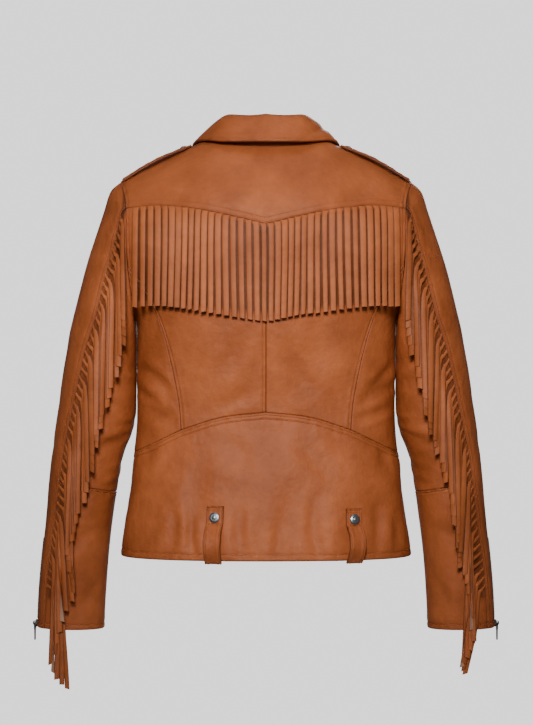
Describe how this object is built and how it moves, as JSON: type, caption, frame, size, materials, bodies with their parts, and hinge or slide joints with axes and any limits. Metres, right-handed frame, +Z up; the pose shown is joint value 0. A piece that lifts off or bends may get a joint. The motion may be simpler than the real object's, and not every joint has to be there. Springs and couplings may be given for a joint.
{
  "type": "leather jacket",
  "caption": "Short fringed leather jacket with a turned-down collar, shoulder tabs, a pointed back yoke, an arched waist seam, belt loops and zipped cuffs",
  "frame": {"origin": "the middle of the neck between the shoulders, where the wearer carries the jacket", "axes": "+Z up along the neck, -Y out of the back, +Y out of the front, +X to the right seen from behind"},
  "size_m": [0.6514, 0.234, 0.792],
  "materials": {
    "leather": "tan cow leather, soft satin, double topstitched",
    "suede_edge": "tan leather cut in strands, pinkish suede on the flesh side",
    "dark_metal": "dark antique metal zip",
    "grey_metal": "antique grey metal snap"
  },
  "bodies": {
    "jacket": {"back_yoke": "leather", "back_lower": "leather", "collar_stand": "leather", "collar_fall": "leather", "belt_loop_left": "leather", "belt_loop_right": "leather", "back_side_left": "leather", "back_centre_left": "leather", "front_left": "leather", "epaulette_left": "leather", "sleeve_left_top": "leather", "sleeve_left_under_upper": "leather", "sleeve_left_under_lower": "leather", "back_side_right": "leather", "back_centre_right": "leather", "front_right": "leather", "epaulette_right": "leather", "sleeve_right_top": "leather", "sleeve_right_under_upper": "leather", "sleeve_right_under_lower": "leather", "fringe_yoke": "suede_edge", "fringe_sleeve_left": "suede_edge", "fringe_sleeve_right": "suede_edge", "front_zip_chain": "dark_metal", "front_zip_slider": "dark_metal", "cuff_zip_left_chain": "dark_metal", "cuff_zip_left_slider": "dark_metal", "cuff_zip_right_chain": "dark_metal", "cuff_zip_right_slider": "dark_metal", "belt_loop_left_stud": "grey_metal", "belt_loop_right_stud": "grey_metal", "epaulette_left_snap": "grey_metal", "epaulette_right_snap": "grey_metal"},
    "front_pull": {"front_zip_pull": "dark_metal"},
    "cuff_pull_left": {"cuff_zip_left_pull": "dark_metal"},
    "cuff_pull_right": {"cuff_zip_right_pull": "dark_metal"}
  },
  "joints": [
    {"name": "front_pull_swing", "type": "hinge", "parent": "jacket", "child": "front_pull", "pos_m": [0, 0.0735, -0.09439], "axis": [1, 0, 0], "range_deg": [0, 150]},
    {"name": "cuff_pull_left_swing", "type": "hinge", "parent": "jacket", "child": "cuff_pull_left", "pos_m": [-0.32271, 0.03757, -0.65854], "axis": [0.1896, 0.9819, 0], "range_deg": [0, 150]},
    {"name": "cuff_pull_right_swing", "type": "hinge", "parent": "jacket", "child": "cuff_pull_right", "pos_m": [0.32271, 0.03757, -0.65854], "axis": [0.1896, -0.9819, 0], "range_deg": [0, 150]}
  ]
}
